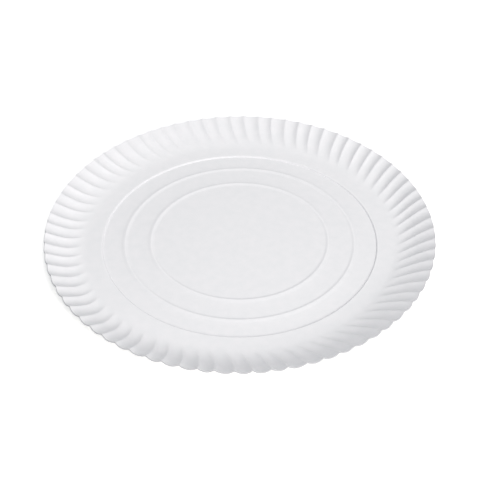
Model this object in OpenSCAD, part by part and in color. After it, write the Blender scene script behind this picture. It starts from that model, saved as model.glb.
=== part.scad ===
// Round serving tray pressed from one sheet of white card. Its flat floor has two raised rings and one
// low step. Its rim bends up from the floor and is fluted all round, with flutes that sweep sideways.
// Millimetres, Z up, centred on the tray, with the underside of the floor at Z = 0.

/* [Card] */
// Diameter across the rim, half way between the crests and the channels of the flutes
tray_diameter = 300; // [220:1:420]
// Thickness of the pressed card
card_thickness = 0.8; // [0.4:0.05:1.6]

/* [Rim] */
// Width of the rim from its foot to its edge, seen from above
rim_width = 31; // [30:0.5:40]
// Slope of the rim's straight outer part above the level, in degrees
rim_slope = 30; // [20:1:36]
// Radius of the bend between the floor and the straight part of the rim
rim_bend_radius = 38; // [25:0.5:46]

/* [Floor] */
// Distance from the foot of the rim inwards to the middle of the step
step_inset = 12; // [8:0.1:16]
// Height by which the step lifts the outside of the floor
step_height = 1; // [0.4:0.05:2]
// Width of the step's slope
step_width = 1.3; // [0.8:0.1:4]
// Distance from the step inwards to the crest of the outer ring
outer_ring_inset = 17.2; // [14:0.1:24]
// Distance from the crest of the outer ring inwards to the crest of the inner ring
ring_spacing = 20.4; // [16:0.1:24]
// Height of both rings above the floor
ring_height = 0.5; // [0.4:0.05:1.5]
// Width of a ring's slope that faces the middle of the tray
ring_inner_slope = 2.6; // [1.5:0.1:3.5]
// Width of the steep part of a ring's slope that faces the rim
ring_outer_slope = 3.2; // [1.5:0.1:4.5]
// Height at the crest of the gentle slope that runs out from under a ring towards the rim
ring_run_height = 0.22; // [0:0.02:0.4]
// Width of that gentle slope
ring_run_width = 11; // [6:0.5:12]

/* [Flutes] */
// Distance from one crest to the next along the rim's edge
flute_pitch = 12.4; // [11:0.1:24]
// Depth of a channel below its crests, square to the card
flute_depth = 1.6; // [1:0.1:3.5]
// Share of its length over which a channel deepens
deepening_share = 0.75; // [0.3:0.05:1]
// Length of the flutes, from the rim's edge inwards
flute_length = 27.5; // [20:0.5:29]
// Distance along the rim's edge by which a flute's outer end is ahead of its inner tip
flute_sweep = 9; // [0:0.5:16]

/* [Hidden] */
$fn = 180;
// Radii at which the parts of the pressed form lie, each from the one outside it
edge_radius = tray_diameter / 2;
rim_foot_radius = edge_radius - rim_width;
step_radius = rim_foot_radius - step_inset;
outer_ring_radius = step_radius - outer_ring_inset;
inner_ring_radius = outer_ring_radius - ring_spacing;
// The rim has a border of flat card between the step and its foot, and the floor's disc ends within it
border_width = (step_inset - step_width / 2) / 2;
disc_radius = rim_foot_radius - border_width / 2;
// The rim's section is a bend that leaves the floor level, and then a straight slope
bend_width = rim_bend_radius * sin(rim_slope);
// The flutes are a whole number of fours, so that the tray is as wide as it is deep
flute_count = 4 * round(PI * tray_diameter / flute_pitch / 4);
sweep_angle = 360 * flute_sweep / (PI * tray_diameter);
// Steps of the rounded slopes, columns across one flute and rows along it
slope_steps = 5;
flute_columns = 4;
flute_rows = 5;
columns = flute_count * flute_columns;

// Height of the rounded slopes, from 0 at one end to 1 at the other
function eased(share) = (1 - cos(180 * share)) / 2;

// Height of a ring on its outer side, at a distance out from its crest
function outer_ring_height(out) =
    (ring_height - ring_run_height) * eased(max(0, 1 - out / ring_outer_slope))
    + ring_run_height * pow(1 - out / ring_run_width, 2);

// Section of one ring, from its inner foot over its crest to the end of its gentle slope
function ring_section(crest_radius) = concat(
    [for (i = [-slope_steps : -1])
        [crest_radius + i / slope_steps * ring_inner_slope, ring_height * eased(1 + i / slope_steps)]],
    [for (i = [0 : slope_steps])
        let (out = i / slope_steps * ring_outer_slope) [crest_radius + out, outer_ring_height(out)]],
    [for (i = [1 : 3])
        let (out = ring_outer_slope + i / 3 * (ring_run_width - ring_outer_slope))
        [crest_radius + out, outer_ring_height(out)]]
);

// Section of the step, from the floor's middle level to its outer one
function step_section() = [
    for (i = [0 : 2 * slope_steps])
        let (share = i / (2 * slope_steps))
        [step_radius + (share - 0.5) * step_width, step_height * eased(share)]
];

// Underside of the floor from the middle of the tray out to the disc's edge
function floor_section() = concat(
    [[0, 0]],
    ring_section(inner_ring_radius),
    ring_section(outer_ring_radius),
    step_section(),
    [[disc_radius, step_height]]
);

// The card above an underside: out along the underside and back along the face over it
function card_section(underside) = concat(
    underside,
    [for (i = [len(underside) - 1 : -1 : 0]) underside[i] + [0, card_thickness]]
);

// Tilt of the card at a distance out from the rim's foot
function rim_tilt(out) = asin(min(out, bend_width) / rim_bend_radius);

// Rise of the rim there: round the bend, then up the straight slope
function rim_rise(out) =
    rim_bend_radius * (1 - cos(rim_tilt(out))) + max(0, out - bend_width) * tan(rim_slope);

// Share of a flute's length at each row, closer together at the tip where the flute turns most
function row_share(row) = pow(row / flute_rows, 1.25);

// Rows of the rim as [distance out from the foot, share of the flute's length]
function rim_rows() = concat(
    [[0, 0]],
    [for (row = [0 : flute_rows])
        let (share = row_share(row)) [rim_width - flute_length * (1 - share), share]]
);

// How far a flute has turned sideways: fast at its tip, not at all at its edge
function sweep_at(share) = sweep_angle * (1 - pow(1 - share, 2));

// Depth that a flute has reached: none at its tip, all of it once it has stopped deepening
function depth_at(share) = flute_depth * sin(90 * min(1, share / deepening_share));

// Height across one flute, square to the card: a sharp crest at 0 and 1 and a round channel between
function flute_section(share) = pow(2 * share - 1, 2) - 0.5;

// A point of the rim: out from its foot, then square to the card by the flute and the thickness
function rim_point(row, column, thickness) =
    let (
        tilt = rim_tilt(row[0]),
        turn = 360 * column / columns + sweep_at(row[1]),
        across = (column % flute_columns) / flute_columns,
        lift = thickness + depth_at(row[1]) * flute_section(across),
        radius = rim_foot_radius + row[0] - lift * sin(tilt),
        height = step_height + rim_rise(row[0]) + lift * cos(tilt)
    )
    [radius * cos(turn), radius * sin(turn), height];

// A point on the inner edge of the rim's flat border, at a height above the underside
function border_point(column, thickness) =
    let (radius = rim_foot_radius - border_width, turn = 360 * column / columns)
    [radius * cos(turn), radius * sin(turn), step_height + thickness];

// Points round the section of the sheet: out along the underside and back along the top
function rim_loops() = let (rows = rim_rows(), last = len(rows) - 1) concat(
    [[for (column = [0 : columns - 1]) border_point(column, 0)]],
    [for (row = rows) [for (column = [0 : columns - 1]) rim_point(row, column, 0)]],
    [for (i = [last : -1 : 0])
        [for (column = [0 : columns - 1]) rim_point(rows[i], column, card_thickness)]],
    [[for (column = [0 : columns - 1]) border_point(column, card_thickness)]]
);

// Two triangles for each cell between neighbouring loops and columns, the last loop joined to the first
function loop_faces(loops) = [
    for (loop = [0 : loops - 1], column = [0 : columns - 1], half = [0, 1])
        let (
            next_loop = (loop + 1) % loops,
            next_column = (column + 1) % columns,
            a = loop * columns + column,
            b = loop * columns + next_column,
            c = next_loop * columns + next_column,
            d = next_loop * columns + column
        )
        half == 0 ? [a, c, b] : [a, d, c]
];

// The flat disc of the floor with its rings and step, turned round the tray's axis
module floor_disc() {
    rotate_extrude() polygon(card_section(floor_section()));
}

// The bent and fluted rim, with its flat inner border on the floor's disc
module fluted_rim() {
    loops = rim_loops();
    points = [for (loop = loops, point = loop) point];
    polyhedron(points = points, faces = loop_faces(len(loops)), convexity = 4);
}

// The whole tray is one pressed sheet of card
module tray() {
    color("white") union() {
        floor_disc();
        fluted_rim();
    }
}

tray();
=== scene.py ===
# %% [markdown]
# # A round cardboard tray
# This is the shallow white tray that a baker puts under a cake. A disc of white board is laid on a die
# and pressed once. The press stamps two rings and a step into the floor, bends the rim up, and gathers
# the card that is then too much for the rim into slanting flutes.
#
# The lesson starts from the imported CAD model, which fixes the size and the place of the tray. Blender
# gives the same sheet its fine form and its finish.

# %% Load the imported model
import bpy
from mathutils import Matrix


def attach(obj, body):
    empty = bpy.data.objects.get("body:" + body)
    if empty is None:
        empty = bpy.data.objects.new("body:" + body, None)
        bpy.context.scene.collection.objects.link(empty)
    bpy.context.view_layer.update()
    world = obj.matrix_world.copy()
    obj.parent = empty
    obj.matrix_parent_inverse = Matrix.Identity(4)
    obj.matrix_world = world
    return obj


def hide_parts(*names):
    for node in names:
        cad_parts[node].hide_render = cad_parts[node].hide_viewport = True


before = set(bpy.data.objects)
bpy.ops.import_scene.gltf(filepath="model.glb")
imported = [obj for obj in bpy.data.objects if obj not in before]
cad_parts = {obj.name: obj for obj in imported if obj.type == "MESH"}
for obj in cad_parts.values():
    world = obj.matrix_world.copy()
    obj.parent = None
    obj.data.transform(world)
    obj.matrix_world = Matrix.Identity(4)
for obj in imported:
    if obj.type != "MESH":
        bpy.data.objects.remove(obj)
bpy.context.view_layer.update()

# %% Modules and units
from math import asin, cos, pi, radians, sin, tan

import bpy
from mathutils import Vector

MM = 0.001

# %% [markdown]
# ## Sizes
# They are the sizes of the solid model, in millimetres, so that the finished card lies where the solid
# lies. They could be read off the model's mesh, but a size with a name says what it is. As in the solid,
# each radius follows from the one outside it.

# %% Sizes of the pressed card
TRAY_DIAMETER = 300.0
CARD_THICKNESS = 0.8
RIM_WIDTH = 31.0
RIM_SLOPE = radians(30)
RIM_BEND = 38.0
STEP_INSET = 12.0
STEP_HEIGHT = 1.0
STEP_SLOPE = radians(55)
STEP_INNER_BEND = 0.3
STEP_OUTER_BEND = 1.0
OUTER_RING_INSET = 17.2
RING_SPACING = 20.4
RING_HEIGHT = 0.5
RING_INNER_SLOPE = 2.6
RING_OUTER_SLOPE = 3.2
RING_RUN_HEIGHT = 0.22
RING_RUN_WIDTH = 11.0
FLUTE_COUNT = 76
FLUTE_DEPTH = 1.6
FLUTE_LENGTH = 27.5
FLUTE_SWEEP = 9.0
DEEPENING_SHARE = 0.75

edge_radius = TRAY_DIAMETER / 2
rim_foot_radius = edge_radius - RIM_WIDTH
step_radius = rim_foot_radius - STEP_INSET
outer_ring_radius = step_radius - OUTER_RING_INSET
inner_ring_radius = outer_ring_radius - RING_SPACING
bend_width = RIM_BEND * sin(RIM_SLOPE)
print("radii of the rings, the step and the rim's foot, mm:",
      [round(r, 1) for r in (inner_ring_radius, outer_ring_radius, step_radius, rim_foot_radius)])

# %% [markdown]
# ## Two drawn lines
# Two lines hold the whole form. One is the section of the tray from its middle to its edge, the same all
# round apart from the flutes. The other is the section of one flute, from a crest to the next. The form
# could be sculpted or subdivided too, but then no bend would have its true radius. Points stand close
# together only where the card bends.
#
# Each point of the tray's section also knows which way is square to the card, how far along the flutes
# it lies, how far a flute has turned sideways there, how freely the card can waver, how much a fuller or
# flatter bend moves it, and how hard the die has rubbed it. The die rubs most on the crests of the rings
# and at the top of the step.

# %% Draw the floor's section
LEVEL_BESIDE_RING = 1.0
LEVEL_BESIDE_STEP = 1.5
RUBBED_WIDTH = 1.5


def eased(share):
    """0 at one end and 1 at the other, level at both."""
    return (1 - cos(pi * share)) / 2


def ring_height(out):
    """Height of a ring at a distance out from its crest."""
    if out < 0:
        return RING_HEIGHT * eased(max(0.0, 1 + out / RING_INNER_SLOPE))
    bead = (RING_HEIGHT - RING_RUN_HEIGHT) * eased(max(0.0, 1 - out / RING_OUTER_SLOPE))
    return bead + RING_RUN_HEIGHT * max(0.0, 1 - out / RING_RUN_WIDTH) ** 2


def step_rows(bend_points=4):
    """Rows of the step: a tight inner bend, a straight slope and an outer bend wider than the card."""
    turned = [STEP_SLOPE * i / bend_points for i in range(bend_points + 1)]
    rise = STEP_HEIGHT - (STEP_INNER_BEND + STEP_OUTER_BEND) * (1 - cos(STEP_SLOPE))
    width = (STEP_INNER_BEND + STEP_OUTER_BEND) * sin(STEP_SLOPE) + rise / tan(STEP_SLOPE)
    rows = [(step_radius - width / 2 + STEP_INNER_BEND * sin(t), STEP_INNER_BEND * (1 - cos(t)), 0.0)
            for t in turned]
    rows += [(step_radius + width / 2 - STEP_OUTER_BEND * sin(t),
              STEP_HEIGHT - STEP_OUTER_BEND * (1 - cos(t)), 1 - t / STEP_SLOPE) for t in reversed(turned)]
    return rows


def floor_rows():
    """Rows of the floor as (radius, height, rubbed)."""
    rows = [(0.0, 0.0, 0.0), (inner_ring_radius * 0.5, 0.0, 0.0)]
    for crest_radius in (inner_ring_radius, outer_ring_radius):
        outs = [-RING_INNER_SLOPE - LEVEL_BESIDE_RING] + [RING_INNER_SLOPE * i / 5 for i in range(-5, 0)]
        outs += [RING_OUTER_SLOPE * i / 5 for i in range(6)]
        outs += [RING_OUTER_SLOPE + (RING_RUN_WIDTH - RING_OUTER_SLOPE) * i / 3 for i in (1, 2, 3)]
        rows += [(crest_radius + out, ring_height(out), max(0.0, 1 - abs(out) / RUBBED_WIDTH))
                 for out in outs]
    rows.append((step_radius - LEVEL_BESIDE_STEP, 0.0, 0.0))
    rows += step_rows()
    rows.append((step_radius + LEVEL_BESIDE_STEP, STEP_HEIGHT, 0.0))
    return rows


# %% Draw the rim's section
BULGE_STARTS = step_radius + 6.0


def rim_rise(out):
    """Rise and tilt of the rim at a distance out from its foot: a round bend, then a straight slope."""
    tilt = asin(min(out, bend_width) / RIM_BEND)
    return RIM_BEND * (1 - cos(tilt)) + max(0.0, out - bend_width) * tan(RIM_SLOPE), tilt


def tray_section(flute_rows=18):
    """The tray's section as a mesh of points, each with what it knows as attributes."""
    points = [(radius, height, 0.0, -1.0, rubbed) for radius, height, rubbed in floor_rows()]
    outs = [0.0, (RIM_WIDTH - FLUTE_LENGTH) / 2]
    outs += [RIM_WIDTH - FLUTE_LENGTH * (1 - i / flute_rows) for i in range(flute_rows + 1)]
    for out in outs:
        rise, tilt = rim_rise(out)
        along = 1 - (RIM_WIDTH - out) / FLUTE_LENGTH
        points.append((rim_foot_radius + out, STEP_HEIGHT + rise, tilt, along, 0.0))
    mesh = bpy.data.meshes.new("tray_section")
    mesh.from_pydata([(point[0] * MM, 0.0, (CARD_THICKNESS + point[1]) * MM) for point in points],
                     [(i, i + 1) for i in range(len(points) - 1)], [])
    square = mesh.attributes.new("square", "FLOAT_VECTOR", "POINT")
    square.data.foreach_set("vector", [v for point in points for v in (-sin(point[2]), 0.0, cos(point[2]))])
    bend_place = [max(0.0, (point[0] - BULGE_STARTS) / (edge_radius - BULGE_STARTS)) for point in points]
    for name, values in (("along", [point[3] for point in points]),
                         ("bulging", [sin(pi * share) ** 2 for share in bend_place]),
                         ("swept", [1 - (1 - max(0.0, point[3])) ** 2 for point in points]),
                         ("loose", [sin(point[2]) for point in points]),
                         ("rubbed", [point[4] for point in points])):
        mesh.attributes.new(name, "FLOAT", "POINT").data.foreach_set("value", values)
    return mesh


section = tray_section()
print("points in the tray's section:", len(section.vertices))

# %% [markdown]
# A flute is a round channel between two sharp crests, so the card rises with the square of the distance
# from the channel's middle. The fibres can't turn a knife-sharp corner, so the last part before each
# crest is rounded. Here X is the share of the pitch, Z the share of the depth, and Y how hard the die has
# rubbed the card.

# %% Draw the section of one flute
CREST_ROUNDING = 0.12
CROWDING = 0.6
RUBBED_SHARPNESS = 6


def flute_section(columns=10):
    """The points across one flute, from its crest to just short of the next, crowded at the crests."""
    points = []
    for i in range(columns):
        share = i / columns - CROWDING * sin(2 * pi * i / columns) / (2 * pi)
        from_middle = abs(2 * share - 1)
        rounded = max(0.0, from_middle - 1 + CREST_ROUNDING) ** 2 / CREST_ROUNDING
        height = (from_middle ** 2 - rounded) / (1 - CREST_ROUNDING) - 0.5
        points.append((share, from_middle ** RUBBED_SHARPNESS, height))
    mesh = bpy.data.meshes.new("flute_section")
    mesh.from_pydata(points, [(i, i + 1) for i in range(columns - 1)], [])
    return mesh


flute_line = bpy.data.objects.new("flute_line", flute_section())
bpy.context.collection.objects.link(flute_line)
print("points across a flute:", len(flute_line.data.vertices))

# %% [markdown]
# ## Nodes
# A finish or a rule of form is a tree of nodes. It could be drawn by hand in Blender's editor, but a
# script can be read and repeated. One helper builds the trees of both kinds. It adds a node, sets its
# settings, and fills its inputs with values or links them to other nodes.

# %% Helper that adds a node
def add(tree, kind, inputs=(), **settings):
    """Adds a node. Its inputs go by name, or in order, and each is a value, a socket or another node."""
    node = tree.nodes.new(kind)
    for name, value in settings.items():
        setattr(node, name, value)
    for name, value in inputs.items() if isinstance(inputs, dict) else enumerate(inputs):
        if isinstance(value, bpy.types.Node):
            value = value.outputs[0]
        if isinstance(value, bpy.types.NodeSocket):
            tree.links.new(value, node.inputs[name])
        else:
            node.inputs[name].default_value = value
    return node


def linear(hex_colour):
    """Linear RGBA of an sRGB colour such as #EDEDEF."""
    channels = [int(hex_colour[i:i + 2], 16) / 255 for i in (1, 3, 5)]
    return [c / 12.92 if c <= 0.04045 else ((c + 0.055) / 1.055) ** 2.4 for c in channels] + [1.0]


# %% [markdown]
# ## Finish of the card
# The tray is solid bleached board, 0.8 mm thick. Such board has three finishes. Its face carries a thin
# coat of clay, calendered smooth, and looks half matt. Its back is bare fibre, rougher and a little
# warmer. Its cut edge shows the plies of fibre that it was made from, a little darker than the face, and
# here its colour is darkened further to a cool grey, which is painted shade along the tray's outer edge.
# A photographed texture would fix one patch of board and repeat. Noise doesn't repeat, and its scale is
# a real size. Each finish is one noise for the colour and one for the bump.

# %% Helper for the three finishes
def board_finish(name, colours, cloud_size, grain_size, grain_depth, roughness):
    """A material of two close colours in clouds, with a fine grain as bump. Sizes are in metres."""
    material = bpy.data.materials.new(name)
    material.use_nodes = True
    tree = material.node_tree
    tree.nodes.clear()
    place = add(tree, "ShaderNodeTexCoord").outputs["Object"]
    stretch = add(tree, "ShaderNodeMapping", {"Vector": place, "Scale": [1 / size for size in cloud_size]})
    clouds = add(tree, "ShaderNodeTexNoise", {"Vector": stretch, "Scale": 1.0, "Detail": 4.0})
    spread = add(tree, "ShaderNodeMapRange", {"Value": clouds, "From Min": 0.3, "From Max": 0.7})
    # Inputs 6 and 7 and output 2 of a Mix node are its colours
    colour = add(tree, "ShaderNodeMix", {"Factor": spread, 6: linear(colours[0]), 7: linear(colours[1])},
                 data_type="RGBA")
    grain_place = add(tree, "ShaderNodeMapping",
                      {"Vector": place, "Scale": [1 / size for size in grain_size]})
    grain = add(tree, "ShaderNodeTexNoise", {"Vector": grain_place, "Scale": 1.0, "Detail": 3.0})
    bump = add(tree, "ShaderNodeBump", {"Height": grain, "Strength": 1.0, "Distance": grain_depth})
    surface = add(tree, "ShaderNodeBsdfPrincipled", {"Base Color": colour.outputs[2], "IOR": 1.5,
                                                     "Roughness": roughness, "Normal": bump})
    add(tree, "ShaderNodeOutputMaterial", {"Surface": surface})
    return material


# %% Clay-coated face
# To the eye: clean, very slightly cool white, with clouds a few millimetres wide where the pulp under the
# coat is denser. The coat lets only a trace of the fibres through. They are about 0.03 mm wide, too fine
# to show, and are drawn 0.5 mm wide. Where the die rubbed the coat, on the crests of the flutes and
# rings, it is polished.
UNRUBBED, RUBBED = 0.5, 0.36
face_finish = board_finish("clay_coated_board_face", ("#ECECEE", "#F0EFF1"), [7 * MM] * 3, [0.5 * MM] * 3,
                           0.006 * MM, UNRUBBED)
tree = face_finish.node_tree
shader = next(node for node in tree.nodes if node.type == "BSDF_PRINCIPLED")
rubbed = add(tree, "ShaderNodeAttribute", attribute_name="rubbed")
polish = add(tree, "ShaderNodeMapRange",
             {"Value": rubbed.outputs["Fac"], "To Min": UNRUBBED, "To Max": RUBBED})
tree.links.new(polish.outputs[0], shader.inputs["Roughness"])
print("face:", len(tree.nodes), "nodes")

# %% Bare back
# To the eye: a warmer and duller white with a visible felt of fibres about a millimetre long, which lie
# mostly along the machine direction, here X.
back_finish = board_finish("bare_bleached_board_back", ("#DFDDD8", "#E9E7E3"), [5 * MM, 2 * MM, 2 * MM],
                           [1.1 * MM, 0.25 * MM, 0.25 * MM], 0.03 * MM, 0.85)

# %% Cut edge, with painted shade
# To the eye: a thin line, a little darker, with plies that run along the edge. Its colour is darkened
# further to a cool grey, as painted shade along the tray's outer edge. The real plies are about 0.1 mm
# thick, and at 0.16 mm they still show in a close view.
cut_edge_with_painted_shade = board_finish("die_cut_edge_painted_shade", ("#B2B3B6", "#CBCBCD"), [1.5 * MM, 1.5 * MM, 0.16 * MM],
                           [0.5 * MM, 0.5 * MM, 0.12 * MM], 0.03 * MM, 0.9)

# %% [markdown]
# ## The pressed sheet
# The whole tray follows one rule: its section is turned round the axis, and the rim is fluted as it
# turns. One flute could be modelled and repeated 76 times, but the copies would be alike, with a seam at
# each crest. Geometry Nodes state the rule once. The tree takes a flat grid, with a row for each point of
# the tray's section and a column for each point across each flute. Every point of the grid looks up its
# row and its column in the two drawn lines, is lifted square to the card by its flute, and is turned
# round the axis.
#
# No real flute is quite like the next. Smooth noise, read on a circle so that it closes on itself, moves
# each crest a little along the rim and changes its height and the place of its tip. Slower noise lets the
# rim waver, and makes its bend fuller on one side of the tray than on another. Slow noise swings by only
# about a fifth of its amount on its way round, so 1.4 mm of waver moves the edge by about 0.3 mm.

# %% Start the geometry tree
sheet_tree = bpy.data.node_groups.new("pressed_sheet", "GeometryNodeTree")
sheet_tree.interface.new_socket("Geometry", in_out="INPUT", socket_type="NodeSocketGeometry")
sheet_tree.interface.new_socket("Geometry", in_out="OUTPUT", socket_type="NodeSocketGeometry")
for name, kind in (("Flute line", "Object"), ("Flutes", "Int"), ("Flute depth", "Float"),
                   ("Deepening share", "Float"), ("Flute turn", "Float"), ("Uneven spacing", "Float"),
                   ("Uneven height", "Float"), ("Uneven tips", "Float"), ("Rim waver", "Float"),
                   ("Uneven bend", "Float"), ("Seed", "Float"), ("Material", "Material")):
    sheet_tree.interface.new_socket(name, in_out="INPUT", socket_type="NodeSocket" + kind)
given = add(sheet_tree, "NodeGroupInput").outputs

# %% Nodes: the grid, and the row and column of each of its points
flute = add(sheet_tree, "GeometryNodeObjectInfo", {"Object": given["Flute line"]}).outputs["Geometry"]
rows = add(sheet_tree, "GeometryNodeAttributeDomainSize", {"Geometry": given["Geometry"]})
flute_columns = add(sheet_tree, "GeometryNodeAttributeDomainSize", {"Geometry": flute})
columns = add(sheet_tree, "FunctionNodeIntegerMath", (given["Flutes"], flute_columns), operation="MULTIPLY")
closing = add(sheet_tree, "FunctionNodeIntegerMath", (columns, 1), operation="ADD")
grid = add(sheet_tree, "GeometryNodeMeshGrid", {"Vertices X": closing, "Vertices Y": rows})
index = add(sheet_tree, "GeometryNodeInputIndex")
row = add(sheet_tree, "FunctionNodeIntegerMath", (index, rows), operation="MODULO")
column = add(sheet_tree, "FunctionNodeIntegerMath", (index, rows), operation="DIVIDE_FLOOR")
flute_number = add(sheet_tree, "FunctionNodeIntegerMath", (column, flute_columns), operation="DIVIDE_FLOOR")
flute_column = add(sheet_tree, "FunctionNodeIntegerMath", (column, flute_columns), operation="MODULO")

# %% Nodes: look up the two drawn lines
position = add(sheet_tree, "GeometryNodeInputPosition")
point = add(sheet_tree, "GeometryNodeSampleIndex",
            {"Geometry": given["Geometry"], "Value": position, "Index": row}, data_type="FLOAT_VECTOR")
across = add(sheet_tree, "GeometryNodeSampleIndex",
             {"Geometry": flute, "Value": position, "Index": flute_column}, data_type="FLOAT_VECTOR")
across = add(sheet_tree, "ShaderNodeSeparateXYZ", (across,)).outputs
known = {}
for name, kind in (("square", "FLOAT_VECTOR"), ("along", "FLOAT"), ("swept", "FLOAT"), ("loose", "FLOAT"),
                   ("bulging", "FLOAT"), ("rubbed", "FLOAT")):
    field = add(sheet_tree, "GeometryNodeInputNamedAttribute", {"Name": name}, data_type=kind)
    known[name] = add(sheet_tree, "GeometryNodeSampleIndex",
                      {"Geometry": given["Geometry"], "Value": field, "Index": row}, data_type=kind)

# %% Nodes: what is uneven round the rim
# Each kind has its own noise: about how many flutes wide it is, and how far its seed is from the given one
UNEVEN = (("Uneven spacing", 1.3, 0.0), ("Uneven height", 1.6, 10.0), ("Uneven tips", 1.1, 20.0),
          ("Rim waver", 11.0, 149.0), ("Uneven bend", 20.0, 150.0))
flute_angle = add(sheet_tree, "ShaderNodeMath", (2 * pi, given["Flutes"]), operation="DIVIDE")
flutes_round = add(sheet_tree, "ShaderNodeMath", (flute_number, across["X"]), operation="ADD")
turn = add(sheet_tree, "ShaderNodeMath", (flutes_round, flute_angle), operation="MULTIPLY")
circle = add(sheet_tree, "ShaderNodeVectorRotate", {"Vector": (1.0, 0.0, 0.0), "Angle": turn},
             rotation_type="Z_AXIS")
uneven = {}
for name, flutes_wide, offset in UNEVEN:
    seed = add(sheet_tree, "ShaderNodeMath", (given["Seed"], offset), operation="ADD")
    fineness = add(sheet_tree, "ShaderNodeMath", (given["Flutes"], 2 * pi * flutes_wide),
                   operation="DIVIDE")
    noise = add(sheet_tree, "ShaderNodeTexNoise",
                {"Vector": circle, "W": seed, "Scale": fineness, "Detail": 0.0},
                noise_dimensions="4D", normalize=False)
    uneven[name] = add(sheet_tree, "ShaderNodeMath", (noise, given[name]), operation="MULTIPLY")

# %% Nodes: how far the flute lifts the point
tip = uneven["Uneven tips"]
tip_end = add(sheet_tree, "ShaderNodeMath", (tip, given["Deepening share"]), operation="ADD")
deepened = add(sheet_tree, "ShaderNodeMapRange",
               {"Value": known["along"], "From Min": tip, "From Max": tip_end, "To Max": pi / 2})
deepened = add(sheet_tree, "ShaderNodeMath", (deepened,), operation="SINE")
taller = add(sheet_tree, "ShaderNodeMath", (uneven["Uneven height"], 1.0), operation="ADD")
full_depth = add(sheet_tree, "ShaderNodeMath", (taller, given["Flute depth"]), operation="MULTIPLY")
depth = add(sheet_tree, "ShaderNodeMath", (full_depth, deepened), operation="MULTIPLY")
wavering = add(sheet_tree, "ShaderNodeMath", (uneven["Rim waver"], known["loose"]), operation="MULTIPLY")
bulge = add(sheet_tree, "ShaderNodeMath", (uneven["Uneven bend"], known["bulging"], wavering),
            operation="MULTIPLY_ADD")
lift = add(sheet_tree, "ShaderNodeMath", (across["Z"], depth, bulge), operation="MULTIPLY_ADD")

# %% Nodes: lift the point and turn it round the axis
lifted = add(sheet_tree, "ShaderNodeVectorMath", (known["square"], lift, point), operation="MULTIPLY_ADD")
moved = add(sheet_tree, "ShaderNodeMath", (uneven["Uneven spacing"], flute_angle, turn),
            operation="MULTIPLY_ADD")
angle = add(sheet_tree, "ShaderNodeMath", (known["swept"], given["Flute turn"], moved),
            operation="MULTIPLY_ADD")
place = add(sheet_tree, "ShaderNodeVectorRotate", {"Vector": lifted, "Angle": angle},
            rotation_type="Z_AXIS")

# %% Nodes: close the sheet and finish it
crest = add(sheet_tree, "ShaderNodeMath", (across["Y"], deepened), operation="MULTIPLY")
rubbed = add(sheet_tree, "ShaderNodeMath", (crest, known["rubbed"]), operation="MAXIMUM")
sheet = add(sheet_tree, "GeometryNodeStoreNamedAttribute",
            {"Geometry": grid, "Name": "rubbed", "Value": rubbed}, data_type="FLOAT", domain="POINT")
for kind, inputs in (("GeometryNodeSetPosition", {"Position": place}),
                     ("GeometryNodeMergeByDistance", {"Distance": 0.001 * MM}),
                     ("GeometryNodeFlipFaces", {}),
                     ("GeometryNodeSetShadeSmooth", {}),
                     ("GeometryNodeRealizeInstances", {}),
                     ("GeometryNodeSetMaterial", {"Material": given["Material"]})):
    sheet = add(sheet_tree, kind, {0: sheet, **inputs})
add(sheet_tree, "NodeGroupOutput", (sheet,))
print("nodes in the tree:", len(sheet_tree.nodes))

# %% [markdown]
# ## From the tree to the tray
# The tree gives the face of the card. The back could be a second grid, but then the two would have to be
# sewn together. Solidify adds the back 0.8 mm under the face, square to the card everywhere, and closes
# the cut edge between them. It gives the back and the edge the second and third finish.

# %% Press the sheet
former = bpy.data.objects.new("former", section)
bpy.context.collection.objects.link(former)
press = former.modifiers.new("press", "NODES")
press.node_group = sheet_tree
wanted = {
    "Flute line": flute_line, "Flutes": FLUTE_COUNT, "Flute depth": FLUTE_DEPTH * MM,
    "Deepening share": DEEPENING_SHARE, "Flute turn": FLUTE_SWEEP / edge_radius, "Uneven spacing": 0.16,
    "Uneven height": 0.16, "Uneven tips": 0.08, "Rim waver": 1.4 * MM, "Uneven bend": 6.0 * MM, "Seed": 4.0,
    "Material": face_finish,
}
for socket in sheet_tree.interface.items_tree:
    if socket.in_out == "INPUT" and socket.name in wanted:
        press[socket.identifier] = wanted[socket.name]


def plain_mesh(shaped):
    """The mesh that an object has once its modifiers have acted."""
    return bpy.data.meshes.new_from_object(shaped.evaluated_get(bpy.context.evaluated_depsgraph_get()))


tray = bpy.data.objects.new("tray_sheet", plain_mesh(former))
bpy.context.collection.objects.link(tray)
for guide in (former, flute_line):
    bpy.data.objects.remove(guide)
print("faces of the pressed sheet:", len(tray.data.polygons))

# %% Give it thickness
CREASE_ANGLE = radians(50)
tray.data.materials.clear()
for finish in (face_finish, back_finish, cut_edge_with_painted_shade):
    tray.data.materials.append(finish)
thickness = tray.modifiers.new("thickness", "SOLIDIFY")
thickness.thickness = CARD_THICKNESS * MM
thickness.offset = -1.0
thickness.use_even_offset = True
thickness.material_offset = 1
thickness.material_offset_rim = 2
mesh = plain_mesh(tray)
tray.modifiers.clear()
tray.data = mesh
mesh.set_sharp_from_angle(angle=CREASE_ANGLE)
print("triangles:", sum(len(face.vertices) - 2 for face in mesh.polygons))
print("faces of each finish:", [sum(face.material_index == i for face in mesh.polygons) for i in range(3)])
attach(tray, "root")
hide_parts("tray")

# %% [markdown]
# ## Stage
# A plain white floor and soft light. The tray is nearly as white as the floor, so only the slope of the
# card against the light shows its form. To the camera the floor glows a little, so that the ground comes
# out white and keeps a faint shadow, and the backdrop is white. The floor lies a hair under the tray, so
# that their faces aren't in one plane.
#
# The key softbox stands low on the near right and makes the flutes show. One above it and one on the
# far side fill what it leaves dark.

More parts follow.
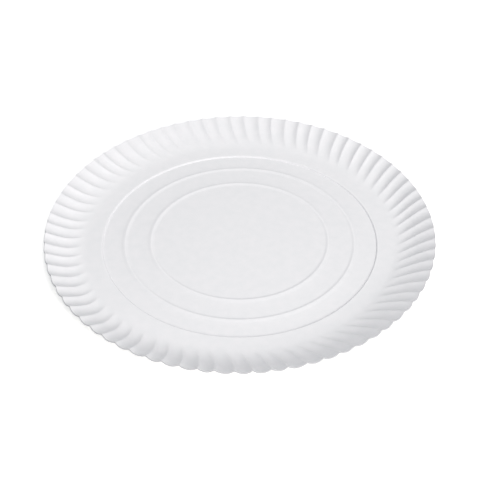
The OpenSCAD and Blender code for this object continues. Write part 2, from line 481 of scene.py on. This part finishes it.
# %% Floor
WHITE = (1.0, 1.0, 1.0, 1.0)
floor_finish = bpy.data.materials.new("studio_floor_white")
floor_finish.use_nodes = True
tree = floor_finish.node_tree
tree.nodes.clear()
diffuse = add(tree, "ShaderNodeBsdfDiffuse", {"Color": (0.9, 0.9, 0.9, 1.0)})
glow = add(tree, "ShaderNodeEmission", {"Color": WHITE, "Strength": 0.46})
both = add(tree, "ShaderNodeAddShader", (diffuse, glow))
path = add(tree, "ShaderNodeLightPath")
seen = add(tree, "ShaderNodeMixShader", {"Fac": path.outputs["Is Camera Ray"], 1: diffuse, 2: both})
add(tree, "ShaderNodeOutputMaterial", {"Surface": seen})

bpy.ops.mesh.primitive_plane_add(size=6.0, location=(0.0, 0.0, -0.05 * MM))
floor = bpy.context.object
floor.name = "studio_floor"
floor.data.materials.append(floor_finish)

# %% Light from all round
world = bpy.data.worlds.new("studio")
bpy.context.scene.world = world
world.use_nodes = True
tree = world.node_tree
tree.nodes.clear()
dome = add(tree, "ShaderNodeBackground", {"Color": (0.912, 0.953, 1.0, 1.0), "Strength": 0.357})
backdrop = add(tree, "ShaderNodeBackground", {"Color": WHITE, "Strength": 1.0})
path = add(tree, "ShaderNodeLightPath")
seen = add(tree, "ShaderNodeMixShader", {"Fac": path.outputs["Is Camera Ray"], 1: dome, 2: backdrop})
add(tree, "ShaderNodeOutputWorld", {"Surface": seen})

# %% Three softboxes
def area_light(name, azimuth, elevation, distance, size, energy):
    """A square lamp that looks at the tray from that side."""
    direction = Vector((cos(radians(azimuth)) * cos(radians(elevation)),
                        sin(radians(azimuth)) * cos(radians(elevation)), sin(radians(elevation))))
    data = bpy.data.lights.new(name, "AREA")
    data.size = size
    data.energy = energy
    data.color = (1.0, 0.98, 0.958)
    lamp = bpy.data.objects.new(name, data)
    lamp.location = direction * distance
    lamp.rotation_euler = direction.to_track_quat("Z", "Y").to_euler()
    bpy.context.collection.objects.link(lamp)


area_light("key_softbox", -67.0, 24.0, 1.8, 0.72, 18.6)
area_light("top_softbox", -70.0, 60.0, 1.8, 0.72, 8.4)
area_light("far_softbox", 90.0, 48.0, 2.5, 1.0, 14.0)

# %% [markdown]
# ## Camera
# It looks down at the tray at 41 degrees with a long lens, as the photograph does. It could be set by eye,
# but here its place was worked out from the three rings, whose true shape is known to be round. Lengths
# are in units of the rim's measured radius, and the lens follows from the tray's width in the picture.

# %% Camera
UNIT = 151.4 * MM
CAMERA_ELEVATION = radians(41.364)
DISTANCE_UNITS = 5.155
PICTURE_WIDTH = 490
UNIT_IN_PICTURE = 195
SENSOR_WIDTH = 36.0
look_at = Vector((0.0267 * UNIT, -0.0613 * UNIT, (CARD_THICKNESS + 1.1) * MM))
back = Vector((0.0, -cos(CAMERA_ELEVATION), sin(CAMERA_ELEVATION)))
camera_data = bpy.data.cameras.new("camera")
camera_data.lens = SENSOR_WIDTH * UNIT_IN_PICTURE * DISTANCE_UNITS / PICTURE_WIDTH
camera_data.sensor_width = SENSOR_WIDTH
camera_data.clip_start = 0.01
camera = bpy.data.objects.new("camera", camera_data)
camera.location = look_at + back * DISTANCE_UNITS * UNIT
camera.rotation_euler = back.to_track_quat("Z", "Y").to_euler()
bpy.context.collection.objects.link(camera)
bpy.context.scene.camera = camera
bpy.context.scene.view_settings.view_transform = "Standard"
print("lens, mm:", round(camera_data.lens, 1))
